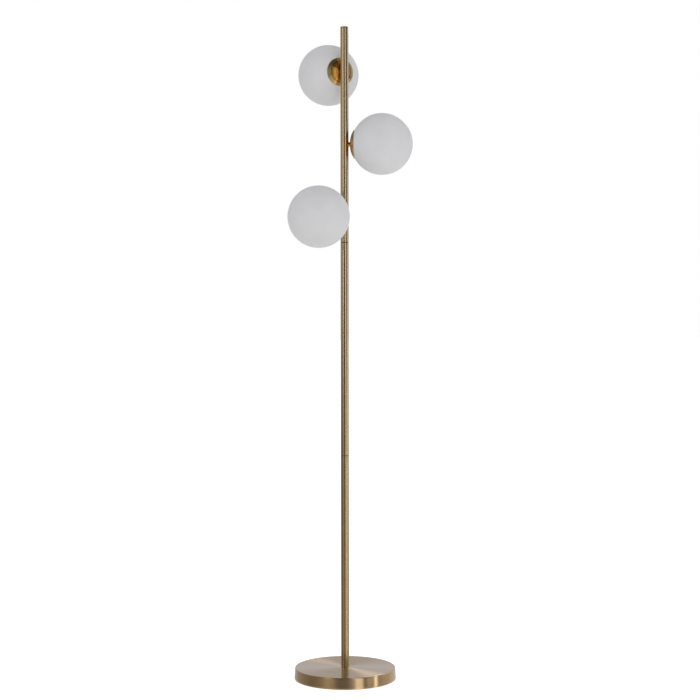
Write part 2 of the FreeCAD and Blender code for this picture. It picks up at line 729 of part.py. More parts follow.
def pole_inserts():
    """Threaded inserts pressed in the tubes' ends, and the flanged pairs at the two joints."""
    foot = new_body("foot_insert")
    foot_end = size.base_height + size.insert_length
    ring_of(foot, "foot_ring", "V_Axis", threaded_bore, tube_bore, size.base_height, foot_end)

    sockets = []
    studs = []
    for number, joint in enumerate((first_joint, second_joint), start=1):
        socket = new_body(f"joint_socket_{number}", is_subpart=False)
        sketch = new_sketch(socket, f"socket_section_{number}")
        corners = [
            (threaded_bore, -size.insert_length),
            (tube_bore, -size.insert_length),
            (tube_bore, -size.joint_flange),
            (joint_radius, -size.joint_flange),
            (joint_radius, NOUGHT),
            (threaded_bore, NOUGHT),
        ]
        draw_outline(sketch, corners)
        turn(socket, f"socket_{number}", sketch, "V_Axis")
        lift_to(socket, joint)
        sockets.append(socket)

        stud = new_body(f"joint_stud_{number}", is_subpart=False)
        sketch = new_sketch(stud, f"stud_section_{number}")
        corners = [
            (size.stud_bore, -size.joint_thread),
            (size.stud_radius, -size.joint_thread),
            (size.stud_radius, NOUGHT),
            (joint_radius, NOUGHT),
            (joint_radius, size.joint_flange),
            (tube_bore, size.joint_flange),
            (tube_bore, size.joint_plug),
            (size.stud_bore, size.joint_plug),
        ]
        draw_outline(sketch, corners)
        turn(stud, f"stud_{number}", sketch, "V_Axis")
        lift_to(stud, joint)
        studs.append(stud)
    group("joint_sockets", sockets)
    group("joint_studs", studs)


def pole_cap():
    """Turned plug that closes the pole's top."""
    body = new_body("pole_cap")
    sketch = new_sketch(body, "cap_section")
    corners = [
        (NOUGHT, pole_top - size.cap_stem),
        (tube_bore, pole_top - size.cap_stem),
        (tube_bore, pole_top),
        (size.pole_radius, pole_top),
        (size.pole_radius, size.overall_height),
        (NOUGHT, size.overall_height),
    ]
    draw_outline(sketch, corners)
    turn(body, "cap", sketch, "V_Axis")
    top_edge = [(size.overall_height, size.pole_radius)]
    soften_rings(body, "Chamfer", "cap_chamfer", size.cap_edge, 2, top_edge)


# ---- Head: the pieces of one arm, drawn along +X -----------------------------------------


def arm(label):
    """Neck coped to the pole's surface, with a hollow thread through it."""
    body = new_body(label)
    ring_of(
        body, f"{label}_neck", "H_Axis", size.arm_bore, size.arm_radius,
        arm_start - 2, dish_start,
    )
    doc.recompute()
    cope = new_sketch(body, f"{label}_cope_outline", "XY_Plane", -size.pole_radius)
    draw_circle(cope, NOUGHT, NOUGHT, size.pole_radius)
    pocket(body, f"{label}_cope", cope, size.pole_radius * 2)
    ring_of(
        body, f"{label}_thread", "H_Axis", size.arm_bore, size.arm_thread,
        arm_start, arm_end,
    )
    soften_rings(body, "Chamfer", f"{label}_end", 0.5, 0, [(arm_end, size.arm_thread)])
    return body


def dish(label):
    """Spun dish: flat middle, dome, fine step, sloping band and a turned-in rim."""
    body = new_body(label)
    sketch = new_sketch(body, f"{label}_section")
    corners = [
        (dish_start, arm_hole),
        (Free(dish_start.value), size.dish_flat),
        (Free(dome_edge.value), dish_band),
        (dome_edge - size.dish_step, dish_band + size.dish_step),
        (shoulder_place, size.dish_radius),
        (rim_place, size.dish_radius),
        (rim_place, inner_rim),
        (shoulder_place + size.dish_wall, inner_rim),
        (Free(inner_edge.value), dish_band),
        (Free(dish_inside.value), size.dish_flat),
        (dish_inside, arm_hole),
    ]
    arcs = {
        1: (dome_centre, size.dish_flat, size.dish_dome, False),
        8: (dome_centre, size.dish_flat, inner_dome, True),
    }
    draw_outline(sketch, corners, arcs)
    turn(body, f"{label}_spinning", sketch, "H_Axis")
    outer_edge = [(shoulder_place, size.dish_radius)]
    soften_rings(body, "Fillet", f"{label}_rim_round", size.dish_round, 0, outer_edge)
    inner_edge_ring = [(shoulder_place + size.dish_wall, inner_rim)]
    inner_round = (size.dish_round - size.dish_wall) * 0.75
    soften_rings(body, "Fillet", f"{label}_rim_inside", inner_round, 0, inner_edge_ring)
    return body


def gallery(label):
    """Turned cup with a hub on the dish and an outside thread for the globe's collar."""
    body = new_body(label)
    sketch = new_sketch(body, f"{label}_section")
    corners = [
        (dish_inside, arm_hole),
        (gallery_floor_end, arm_hole),
        (gallery_floor_end, gallery_bore),
        (gallery_end, gallery_bore),
        (gallery_end, size.gallery_radius),
        (gallery_floor_start, size.gallery_radius),
        (gallery_floor_start, size.dish_flat),
        (dish_inside, size.dish_flat),
    ]
    draw_outline(sketch, corners)
    turn(body, f"{label}_cup", sketch, "H_Axis")
    return body


def globe(label):
    """Blown opal globe with a cut mouth."""
    body = new_body(label)
    sketch = new_sketch(body, f"{label}_section")
    corners = [
        (Free(outer_lip.value), mouth_radius),
        (Free(globe_reach.value + size.globe_radius.value), NOUGHT),
        (Free(globe_reach.value + globe_inside.value), NOUGHT),
        (Free(inner_lip.value), mouth_radius),
    ]
    arcs = {
        0: (globe_reach, NOUGHT, size.globe_radius, False),
        2: (globe_reach, NOUGHT, globe_inside, True),
    }
    draw_outline(sketch, corners, arcs)
    turn(body, f"{label}_glass", sketch, "H_Axis")
    return body


def globe_collar(label):
    """Flanged threaded ring, glued in the globe's mouth."""
    body = new_body(label)
    sketch = new_sketch(body, f"{label}_section")
    collar_end = collar_place + size.collar_length
    corners = [
        (collar_place, collar_bore),
        (collar_end, collar_bore),
        (collar_end, sleeve_radius),
        (outer_lip, sleeve_radius),
        (outer_lip, collar_flange),
        (collar_place, collar_flange),
    ]
    draw_outline(sketch, corners)
    turn(body, f"{label}_ring", sketch, "H_Axis")
    return body


def gasket(label):
    """Soft ring that lies on the dish's inner slope, under the glass."""
    body = new_body(label)
    sketch = new_sketch(body, f"{label}_section")
    slope = (shoulder_place + size.dish_wall - inner_edge) / (inner_rim - dish_band)
    inner_back = inner_edge + slope * (gasket_inner - dish_band) + size.gasket_gap
    outer_back = inner_edge + slope * (gasket_outer - dish_band) + size.gasket_gap
    corners = [
        (inner_back, gasket_inner),
        (inner_back + size.gasket_thickness, gasket_inner),
        (outer_back + size.gasket_thickness, gasket_outer),
        (outer_back, gasket_outer),
    ]
    draw_outline(sketch, corners)
    turn(body, f"{label}_ring", sketch, "H_Axis")
    return body


def lampholder_bracket(label):
    """U-shaped sheet bracket: a bar under the arm's nut and two legs beside the lampholder."""
    body = new_body(label)
    outline = new_sketch(body, f"{label}_outline", "XY_Plane", -size.bracket_width / 2)
    inside = size.holder_width / 2
    outside = inside + size.bracket_sheet
    leg_end = gallery_floor_end + size.bracket_leg
    corners = [
        (gallery_floor_end, -outside),
        (leg_end, -outside),
        (leg_end, -inside),
        (bracket_front, -inside),
        (bracket_front, inside),
        (leg_end, inside),
        (leg_end, outside),
        (gallery_floor_end, outside),
    ]
    draw_outline(outline, corners)
    pad(body, f"{label}_sheet", outline, size.bracket_width)
    doc.recompute()
    hole = new_sketch(body, f"{label}_hole_outline", "YZ_Plane")
    draw_circle(hole, NOUGHT, NOUGHT, arm_hole)
    pocket(body, f"{label}_hole", hole, bracket_front + 1)
    side_holes = new_sketch(body, f"{label}_side_outline", "XZ_Plane", -(outside + 1))
    place = holder_back + size.holder_screw_place
    draw_circle(side_holes, place, NOUGHT, size.screw_radius + size.screw_gap)
    pocket(body, f"{label}_side_holes", side_holes, (outside + 1) * 2)
    return body


def lampholder(label):
    """Ceramic block with rounded corners, two slots for the bulb's pins and side screw holes."""
    body = new_body(label)
    outline = new_sketch(body, f"{label}_outline", "YZ_Plane", holder_back)
    half_width = size.holder_width / 2
    half_height = size.holder_height / 2
    draw_rectangle(outline, -half_width, half_width, -half_height, half_height)
    pad(body, f"{label}_block", outline, size.holder_length)
    doc.recompute()
    before = body.Tip
    long_edges = []
    for number, edge in enumerate(before.Shape.Edges, start=1):
        if abs(edge.tangentAt(edge.FirstParameter).x) > 0.999:
            long_edges.append(f"Edge{number}")
    corners = body.newObject("PartDesign::Fillet", f"{label}_corners")
    corners.Base = (before, long_edges)
    set_size(corners, "Radius", size.holder_round)
    doc.recompute()
    slots = new_sketch(body, f"{label}_slots_outline", "YZ_Plane", holder_front)
    reach = size.pin_half_width + size.pin_wire + size.slot_gap
    side = size.pin_wire + size.slot_gap
    for middle in (-size.pin_spacing / 2, size.pin_spacing / 2):
        draw_rectangle(slots, middle - reach, middle + reach, -side, side)
    pocket(body, f"{label}_slots", slots, size.slot_depth, along_normal=False)
    place = holder_back + size.holder_screw_place
    for name, lift, inwards in (("left", -half_width, True), ("right", half_width, False)):
        side_hole = new_sketch(body, f"{label}_{name}_outline", "XZ_Plane", lift)
        draw_circle(side_hole, place, NOUGHT, size.screw_radius)
        pocket(body, f"{label}_{name}_hole", side_hole, size.screw_bite, along_normal=inwards)
    return body


def side_screw(label):
    """Pan-head screw, drawn along +X with its head's underside at X = 0."""
    body = new_body(label, is_subpart=False)
    sketch = new_sketch(body, f"{label}_section")
    shank_end = -(size.screw_bite + size.bracket_sheet)
    corners = [
        (shank_end, NOUGHT),
        (shank_end, size.screw_radius),
        (NOUGHT, size.screw_radius),
        (NOUGHT, size.screw_head),
        (size.screw_head_height, size.screw_head),
        (size.screw_head_height, NOUGHT),
    ]
    draw_outline(sketch, corners)
    turn(body, f"{label}_screw", sketch, "H_Axis")
    head_edge = [(size.screw_head_height, size.screw_head)]
    soften_rings(body, "Fillet", f"{label}_round", size.screw_head_height / 2, 0, head_edge)
    return body


def bulb_pins(label):
    """Two loops of wire, each swept round a U, one mirrored from the other."""
    body = new_body(f"{label}_loop", is_subpart=False)
    tip_bend = bulb_back - size.pin_length + size.pin_half_width
    middle = size.pin_spacing / 2
    path = new_sketch(body, f"{label}_path", "XY_Plane")
    near = Part.LineSegment(
        Vector(bulb_back.value, middle.value - size.pin_half_width.value, 0),
        Vector(tip_bend.value, middle.value - size.pin_half_width.value, 0),
    )
    bend_centre = Vector(tip_bend.value, middle.value, 0)
    bend_circle = Part.Circle(bend_centre, Vector(0, 0, 1), size.pin_half_width.value)
    bend = Part.ArcOfCircle(bend_circle, math.pi / 2, 3 * math.pi / 2)
    far = Part.LineSegment(
        Vector(tip_bend.value, middle.value + size.pin_half_width.value, 0),
        Vector(bulb_back.value, middle.value + size.pin_half_width.value, 0),
    )
    first = path.addGeometry(near, False)
    curve = path.addGeometry(bend, False)
    last = path.addGeometry(far, False)
    path.addConstraint(Sketcher.Constraint("Tangent", first, 2, curve, 2))
    path.addConstraint(Sketcher.Constraint("Tangent", curve, 1, last, 1))
    pin_point(path, first, 1, bulb_back, middle - size.pin_half_width)
    pin_point(path, curve, 3, tip_bend, middle)
    pin_point(path, last, 2, bulb_back, Free(0))
    section = new_sketch(body, f"{label}_wire", "YZ_Plane", bulb_back)
    draw_circle(section, middle - size.pin_half_width, NOUGHT, size.pin_wire)
    pipe = body.newObject("PartDesign::AdditivePipe", f"{label}_pipe")
    pipe.Profile = section
    pipe.Spine = (path, [])
    mirror = doc.addObject("Part::Mirroring", f"{label}_mirror")
    mirror.Source = body
    mirror.Base = Vector(0, 0, 0)
    mirror.Normal = Vector(0, 1, 0)
    return group(label, [body, mirror])


def bulb_base(label):
    body = new_body(label)
    sketch = new_sketch(body, f"{label}_section")
    corners = [
        (bulb_back, NOUGHT),
        (bulb_back, size.bulb_radius - 1),
        (bulb_back + 2, size.bulb_radius),
        (bulb_middle, size.bulb_radius),
        (bulb_middle, NOUGHT),
    ]
    draw_outline(sketch, corners)
    turn(body, f"{label}_turned", sketch, "H_Axis")
    return body


def bulb_envelope(label):
    """Thin envelope with a half-round tip, open where it meets the bulb's base."""
    body = new_body(label)
    sketch = new_sketch(body, f"{label}_section")
    tip_centre = bulb_tip - size.bulb_radius
    inner_radius = size.bulb_radius - size.bulb_wall
    corners = [
        (bulb_middle, size.bulb_radius),
        (tip_centre, size.bulb_radius),
        (Free(bulb_tip.value), NOUGHT),
        (Free(tip_centre.value + inner_radius.value), NOUGHT),
        (tip_centre, inner_radius),
        (bulb_middle, inner_radius),
    ]
    arcs = {
        1: (tip_centre, NOUGHT, Free(size.bulb_radius.value), False),
        3: (tip_centre, NOUGHT, Free(inner_radius.value), True),
    }
    draw_outline(sketch, corners, arcs)
    turn(body, f"{label}_shell", sketch, "H_Axis")
    return body


def rounded_path(points, radii):
    """Straight runs between points, joined by tangent arcs at the inner points."""
    edges = []
    start = points[0]
    for before, corner, after, radius in zip(points, points[1:], points[2:], radii):
        arriving = (corner - before).normalize()
        leaving = (after - corner).normalize()
        angle = arriving.getAngle(leaving)
        setback = radius * math.tan(angle / 2)
        arc_start = corner - arriving * setback
        arc_end = corner + leaving * setback
        inwards = (leaving - arriving).normalize()
        centre = corner + inwards * (radius / math.cos(angle / 2))
        arc_middle = centre - inwards * radius
        edges.append(Part.LineSegment(start, arc_start).toShape())
        edges.append(Part.Arc(arc_start, arc_middle, arc_end).toShape())
        start = arc_end
    edges.append(Part.LineSegment(start, points[-1]).toShape())
    return Part.Wire(edges)


def lead(label, height, bearing, block_place, side_step):
    """Two-core lead: lampholder, arm, far side of the pole, stud and terminal block."""
    along = Vector(math.cos(math.radians(bearing.value)), math.sin(math.radians(bearing.value)), 0)
    far = along * -size.lead_offset.value
    floor_level = lead_level.value
    up = Vector(0, 0, 1)
    points = [
        along * holder_back.value + up * height.value,
        far + up * height.value,
        far + up * floor_level,
    ]
    radii = [size.lead_top_bend.value, size.lead_base_bend.value]
    if side_step is not None:
        points.append(side_step + up * floor_level)
        radii.append(size.lead_turn.value)
    block_inside = size.block_start.value + size.lead_entry.value - size.lead_entry_gap.value
    points.append(Vector(block_place, block_inside, floor_level))
    path = rounded_path(points, radii)
    start = Part.Circle(points[0], along, size.lead_radius.value).toShape()
    pipe = path.makePipeShell([Part.Wire([start])], True, False)
    item = doc.addObject("Part::Feature", label)
    item.Label = label
    item.Shape = pipe
    expected = math.pi * size.lead_radius.value**2 * path.Length
    if abs(pipe.Volume / expected - 1) > 0.01:
        raise RuntimeError(f"{label}: swept volume {pipe.Volume:.0f}, expected {expected:.0f}")
    print(f"{label}: {path.Length:.0f} mm long")
    subparts.append(item)


# ---- Assembly ---------------------------------------------------------------------------


def heads():
    arm_nuts = []
    arm_washers = []
    side_screws = []
    screw_place = holder_back + size.holder_screw_place
    for name, height, bearing in HEADS:
        pieces = [
            arm(f"{name}_arm"),
            dish(f"{name}_dish"),
            gallery(f"{name}_gallery"),
            gasket(f"{name}_gasket"),
            globe(f"{name}_globe"),
            globe_collar(f"{name}_globe_collar"),
            lampholder_bracket(f"{name}_lampholder_bracket"),
            lampholder(f"{name}_lampholder"),
            bulb_pins(f"{name}_bulb_pins"),
            bulb_base(f"{name}_bulb_base"),
            bulb_envelope(f"{name}_bulb_envelope"),
        ]
        for piece in pieces:
            place_on_arm(piece, height, bearing)
        nut = hexagon_nut(
            f"{name}_arm_nut", size.arm_nut_flats, size.arm_nut_thickness, arm_hole,
            is_subpart=False, role="YZ_Plane",
        )
        washer = toothed_washer(
            f"{name}_arm_washer", size.arm_washer_radius, arm_hole,
            size.lock_washer_thickness, is_subpart=False, role="YZ_Plane",
        )
        for piece, start in ((nut, arm_nut_place), (washer, bracket_front)):
            slide_along_arm(piece, height, bearing, start)
        arm_nuts.append(nut)
        arm_washers.append(washer)
        for side in (1, -1):
            screw = side_screw(f"{name}_side_screw_{'left' if side > 0 else 'right'}")
            place_side_screw(screw, height, bearing, screw_place, side)
            side_screws.append(screw)
    group("arm_nuts", arm_nuts)
    group("arm_lock_washers", arm_washers)
    group("lampholder_screws", side_screws)


def slide_along_arm(item, height, bearing, start):
    """place_on_arm for a piece drawn from X = 0, slid out to its start along the arm."""
    place_on_arm(item, height, bearing)
    angle = f"{bearing.formula} * 1 deg"
    item.setExpression("Placement.Base.x", f"{start.formula} * cos({angle})")
    item.setExpression("Placement.Base.y", f"{start.formula} * sin({angle})")


def place_side_screw(item, height, bearing, along, side):
    """Point a screw's head away from the arm, square to it, against the bracket's leg."""
    outwards = size.holder_width / 2 + size.bracket_sheet
    angle = f"{bearing.formula} * 1 deg"
    place_on_arm(item, height, bearing + 90 * side)
    reach = f"{side} * {outwards.formula}"
    item.setExpression(
        "Placement.Base.x", f"{along.formula} * cos({angle}) - {reach} * sin({angle})"
    )
    item.setExpression(
        "Placement.Base.y", f"{along.formula} * sin({angle}) + {reach} * cos({angle})"
    )


def leads():
    spacing = size.lead_pitch.value
    clear_of_stud = Vector(spacing * 1.9, size.stud_radius.value * 1.4, 0)
    lead("top_lead", top_height, size.top_bearing, spacing, clear_of_stud)
    lead("middle_lead", middle_height, size.middle_bearing, -spacing, None)
    lead("low_lead", low_height, size.low_bearing, 0, None)


def check_and_write():
    doc.recompute()
    for item in doc.Objects:
        if "Invalid" in item.State or "Error" in item.State:
            raise RuntimeError(f"{item.Label} did not compute: {item.State}")
    os.makedirs("parts", exist_ok=True)
    for item in subparts:
        shape = item.Shape
        if shape.isNull() or not shape.isValid() or not shape.Solids:
            raise RuntimeError(f"{item.Label} has no valid solid")
        shape.exportStep(os.path.join("parts", f"{item.Label}.step"))
    print(f"{len(subparts)} sub-parts written")


base_cover()
base_weight()
base_pad()
base_fixings()
cord_inlet_bush()
terminal_block()
pole_tube("pole_lower", size.base_height)
pole_tube("pole_middle", first_joint + size.joint_flange)
pole_tube("pole_upper", second_joint + size.joint_flange)
pole_inserts()
pole_cap()
heads()
leads()
check_and_write()
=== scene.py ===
import json
import math

import bpy
from mathutils import Matrix, Vector

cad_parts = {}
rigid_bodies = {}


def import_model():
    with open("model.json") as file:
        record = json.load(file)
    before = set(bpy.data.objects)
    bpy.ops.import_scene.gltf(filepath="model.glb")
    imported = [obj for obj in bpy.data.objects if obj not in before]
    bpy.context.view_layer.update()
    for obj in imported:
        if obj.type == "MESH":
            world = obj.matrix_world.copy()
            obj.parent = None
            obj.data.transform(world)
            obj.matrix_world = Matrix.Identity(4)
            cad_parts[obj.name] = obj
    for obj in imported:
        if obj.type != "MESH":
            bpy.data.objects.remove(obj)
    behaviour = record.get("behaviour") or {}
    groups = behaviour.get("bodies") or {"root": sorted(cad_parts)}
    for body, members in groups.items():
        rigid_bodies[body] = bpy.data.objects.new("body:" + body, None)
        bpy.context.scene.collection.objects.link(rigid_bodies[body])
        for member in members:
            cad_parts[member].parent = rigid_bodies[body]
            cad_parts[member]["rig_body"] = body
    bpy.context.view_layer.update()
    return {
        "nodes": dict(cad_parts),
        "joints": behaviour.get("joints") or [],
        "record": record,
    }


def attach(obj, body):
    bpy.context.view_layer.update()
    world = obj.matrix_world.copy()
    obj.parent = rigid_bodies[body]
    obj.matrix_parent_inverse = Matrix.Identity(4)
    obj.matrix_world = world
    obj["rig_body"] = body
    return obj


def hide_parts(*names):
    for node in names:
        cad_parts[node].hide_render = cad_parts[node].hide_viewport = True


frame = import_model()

# The looks of a globe floor lamp: brushed brass base and pole, spun brass dishes and matt opal
# glass globes. Lengths are in metres; sizes named here in millimetres are turned to metres by MM.

scene = bpy.context.scene
MM = 0.001
SLOTS = {part["node"]: part["material_slot"] for part in frame["record"]["subparts"]}

# ---- Where each head stands: its joint gives the arm's height and the way it points -----------

HEADS = {}
for joint in frame["joints"]:
    if joint["name"].endswith("_globe_turn"):
        outwards = Vector((0, 0, 1)).rotation_difference(Vector(joint["axis"]))
        HEADS[joint["name"].removesuffix("_globe_turn")] = (
            Matrix.Translation(joint["pos_m"]) @ outwards.to_matrix().to_4x4()
        )

# ---- Sizes of the pieces modelled here, as the construction has them --------------------------

BASE_RADIUS, BASE_TOP_RADIUS = 125 * MM, 123.6 * MM
BASE_TOP, BASE_FOOT, BASE_EDGE = 28.6 * MM, 1 * MM, 1.8 * MM
COVER_WALL, COVER_HOLE, COVER_EASE = 1 * MM, 7.25 * MM, 0.2 * MM
CORD_HOLE_RADIUS, CORD_HOLE_HEIGHT, CORD_HOLE_DEPTH = 5 * MM, 9 * MM, 20 * MM

TUBES = ("pole_lower", "pole_middle", "pole_upper")  # from the base upwards
TUBE_LENGTH, JOINT_GAP, TUBE_EDGE = 522 * MM, 1 * MM, 0.3 * MM
POLE_RADIUS, POLE_BORE = 10 * MM, 9 * MM
CAP_SEAT = BASE_TOP + len(TUBES) * TUBE_LENGTH + (len(TUBES) - 1) * JOINT_GAP
CAP_STEM, CAP_TOP, CAP_EDGE = CAP_SEAT - 9 * MM, CAP_SEAT + 3.4 * MM, 0.9 * MM

# The heads' radii are taken from the arm's axis, and their places along it from the pole's.
DISH_HOLE, DISH_FLAT, DISH_START = 5 * MM, 8.5 * MM, 14.6 * MM
DOME_RADIUS, DOME_EDGE, DISH_STEP = 37.8 * MM, 26 * MM, 0.35 * MM
DISH_RADIUS, DISH_SHOULDER, DISH_RIM = 35 * MM, 23.2 * MM, 25 * MM
DISH_ROUND, DISH_WALL, DISH_EASE = 2.5 * MM, 0.8 * MM, 0.15 * MM
GLOBE_RADIUS, GLOBE_REACH = 75 * MM, 92.2 * MM
GLOBE_WALL, MOUTH_RADIUS, MOUTH_EASE = 2.5 * MM, 21.5 * MM, 0.7 * MM

COVER_SIDES, POLE_SIDES, HEAD_SIDES = 192, 96, 128  # faces once round each turned piece
CORD_HOLE_SIDES = 48
COVER_TOP_RINGS, COVER_SIDE_RINGS, TUBE_RINGS, BAND_RINGS = 24, 6, 12, 4
CAP_TOP_RINGS = (0.7, 0.45, 0.2)  # shares of the pole's radius
BASE_EDGE_STEPS, CAP_EDGE_STEPS, DOME_STEPS, RIM_STEPS, GLOBE_STEPS = 8, 6, 14, 8, 72

AROUND = "around"  # UV map: U once per turn, V along the section in metres
ON_AXIS = 1e-6  # a point nearer to the axis than this has no bearing
SAME_POINT = 0.01 * MM
FACING_UP, FACING_ENDS = 0.9, 0.5  # the least part of a face's normal along the lamp's axis


# ---- Modelling --------------------------------------------------------------------------------


def straight(start, end, steps):
    """Points (radius from the axis, height) on a straight line, with both its ends."""
    return [
        tuple(a + (b - a) * i / steps for a, b in zip(start, end)) for i in range(steps + 1)
    ]


def arc(centre, radius, start, end, steps):
    """Points (radius from the axis, height) on a round line from one angle to another."""
    angles = [math.radians(start + (end - start) * i / steps) for i in range(steps + 1)]
    return [
        (centre[0] + radius * math.cos(a), centre[1] + radius * math.sin(a)) for a in angles
    ]


def select_only(piece):
    bpy.ops.object.select_all(action="DESELECT")
    piece.select_set(True)
    bpy.context.view_layer.objects.active = piece


def turned(name, outline, sides, closed=False):
    """A ring that is extruded and scaled along an outline of (radius, height) points.

    An outline that ends on the axis is drawn together there; a closed one meets its start.
    """
    bpy.ops.object.select_all(action="DESELECT")
    first_radius, first_height = outline[0]
    bpy.ops.mesh.primitive_circle_add(
        vertices=sides, radius=first_radius, location=(0, 0, first_height)
    )
    piece = bpy.context.object
    piece.name = piece.data.name = name
    bpy.ops.object.transform_apply(location=True)
    bpy.ops.object.mode_set(mode="EDIT")
    bpy.ops.mesh.select_mode(type="EDGE")
    bpy.ops.mesh.select_all(action="SELECT")
    for (radius, height), (next_radius, next_height) in zip(outline, outline[1:]):
        rise = (0, 0, next_height - height)
        bpy.ops.mesh.extrude_region_move(TRANSFORM_OT_translate={"value": rise})
        if next_radius == 0:
            bpy.ops.mesh.merge(type="CENTER")
        else:
            growth = next_radius / radius
            bpy.ops.transform.resize(
                value=(growth, growth, 1), center_override=(0, 0, next_height)
            )
    bpy.ops.mesh.select_mode(type="VERT")
    bpy.ops.mesh.select_all(action="SELECT")
    if closed:
        bpy.ops.mesh.remove_doubles(threshold=SAME_POINT)
    bpy.ops.mesh.normals_make_consistent(inside=False)
    bpy.ops.object.mode_set(mode="OBJECT")
    return piece


def finish_modifier(piece, kind, **settings):
    """Adds one modifier, sets it and applies it."""
    select_only(piece)
    modifier = piece.modifiers.new(kind.lower(), kind)
    for setting, value in settings.items():
        setattr(modifier, setting, value)
    bpy.ops.object.modifier_apply(modifier=modifier.name)


def give_wall(piece, thickness):
    """Thickens a turned shell inwards from its outer side."""
    finish_modifier(
        piece, "SOLIDIFY", thickness=thickness, offset=-1, use_even_offset=True
    )


def ease_edges(piece, width, angle, segments):
    """Rounds the edges where two faces meet at more than an angle in degrees."""
    finish_modifier(
        piece, "BEVEL", width=width, segments=segments, limit_method="ANGLE",
        angle_limit=math.radians(angle),
    )


def fill_foot(piece):
    """Closes the open ring at the foot of a turned piece."""
    select_only(piece)
    bpy.ops.object.mode_set(mode="EDIT")
    bpy.ops.mesh.select_all(action="SELECT")
    bpy.ops.mesh.fill_holes(sides=0)
    bpy.ops.mesh.normals_make_consistent(inside=False)
    bpy.ops.object.mode_set(mode="OBJECT")


def cut_cord_hole(cover):
    """Bores the hole for the cord's bush through the rear of the base cover."""
    bpy.ops.mesh.primitive_cylinder_add(
        vertices=CORD_HOLE_SIDES, radius=CORD_HOLE_RADIUS, depth=CORD_HOLE_DEPTH,
        location=(0, BASE_RADIUS, CORD_HOLE_HEIGHT), rotation=(math.radians(90), 0, 0),
    )
    cutter = bpy.context.object
    finish_modifier(cover, "BOOLEAN", object=cutter, operation="DIFFERENCE", solver="EXACT")
    bpy.data.objects.remove(cutter)


def lay_around(piece, slope):
    """The UV map of a turned piece: V is its radius plus or minus its height."""
    mesh = piece.data
    while mesh.uv_layers:
        mesh.uv_layers.remove(mesh.uv_layers[0])
    layer = mesh.uv_layers.new(name=AROUND)
    for face in mesh.polygons:
        places = [mesh.vertices[v].co for v in face.vertices]
        turns = [
            math.atan2(p.y, p.x) / math.tau % 1 if math.hypot(p.x, p.y) > ON_AXIS else None
            for p in places
        ]
        known = [t for t in turns if t is not None]
        if max(known) - min(known) > 0.5:  # the face lies across the map's seam
            turns = [t + 1 if t is not None and t < 0.5 else t for t in turns]
            known = [t for t in turns if t is not None]
        middle = sum(known) / len(known)
        for loop, turn, place in zip(face.loop_indices, turns, places):
            along = math.hypot(place.x, place.y) + slope * place.z
            layer.data[loop].uv = (middle if turn is None else turn, along)


def smooth(piece, angle=35):
    """Shades a piece smooth, but not where its faces meet at more than an angle in degrees."""
    select_only(piece)
    bpy.ops.object.shade_smooth_by_angle(angle=math.radians(angle))


def settle(piece, node, place=None):
    """Puts a piece in its place in the mesh, on the body of the node that it stands for."""
    select_only(piece)
    if place is not None:
        piece.matrix_world = place
        bpy.ops.object.transform_apply(location=True, rotation=True, scale=True)
    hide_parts(node)
    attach(piece, frame["nodes"][node]["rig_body"])


# ---- Materials --------------------------------------------------------------------------------


class Nodes:
    """A node tree, and short ways to add nodes to it."""

    def __init__(self, tree):
        self.tree = tree

    def add(self, kind, inputs=None, **settings):
        node = self.tree.nodes.new(kind)
        for setting, value in settings.items():
            setattr(node, setting, value)
        for socket, value in (inputs or {}).items():
            if isinstance(value, bpy.types.NodeSocket):
                self.tree.links.new(value, node.inputs[socket])
            else:
                node.inputs[socket].default_value = value
        return node

    def spread(self, value, low, high, from_low=0.3, from_high=0.7):
        """A value turned from one range to another, and held within it."""
        inputs = {
            "Value": value, "From Min": from_low, "From Max": from_high,
            "To Min": low, "To Max": high,
        }
        return self.add("ShaderNodeMapRange", inputs).outputs["Result"]

    def colours(self, value, *stops):
        """A colour ramp over (place, colour) stops."""
        node = self.add("ShaderNodeValToRGB", {"Fac": value})
        ramp = node.color_ramp
        while len(ramp.elements) < len(stops):
            ramp.elements.new(0.5)
        for element, (place, colour) in zip(ramp.elements, stops):
            element.position = place
            element.color = (*colour, 1)
        return node.outputs["Color"]

    def mixed(self, factor, first, second, blend="MIX"):
        node = self.add(
            "ShaderNodeMix", {"Factor": factor}, data_type="RGBA", blend_type=blend
        )
        for socket, value in ((6, first), (7, second)):  # its two colour inputs
            if isinstance(value, bpy.types.NodeSocket):
                self.tree.links.new(value, node.inputs[socket])
            else:
                node.inputs[socket].default_value = (*value, 1)
        return node.outputs[2]  # its colour


class Finish(Nodes):
    """A material with its shader; the constants are set on the shader's own sockets."""

    def __init__(self, name, **constants):
        self.material = bpy.data.materials.new(name)
        self.material.use_nodes = True
        super().__init__(self.material.node_tree)
        self.surface = self.tree.nodes["Principled BSDF"]
        for socket, value in constants.items():
            self.surface.inputs[socket.replace("_", " ")].default_value = value

    def set(self, socket, value):
        self.tree.links.new(value, self.surface.inputs[socket])

    def place(self):
        return self.add("ShaderNodeTexCoord").outputs["Object"]

    def stretched(self, source, scale):
        mapping = self.add("ShaderNodeMapping", {"Vector": source, "Scale": scale})
        return mapping.outputs["Vector"]

    def noise(self, vector, scale, detail=3.0, roughness=0.55):
        inputs = {"Vector": vector, "Scale": scale, "Detail": detail, "Roughness": roughness}
        return self.add("ShaderNodeTexNoise", inputs).outputs["Fac"]

    def bump(self, height, depth, strength):
        inputs = {"Height": height, "Distance": depth, "Strength": strength}
        return self.add("ShaderNodeBump", inputs).outputs["Normal"]


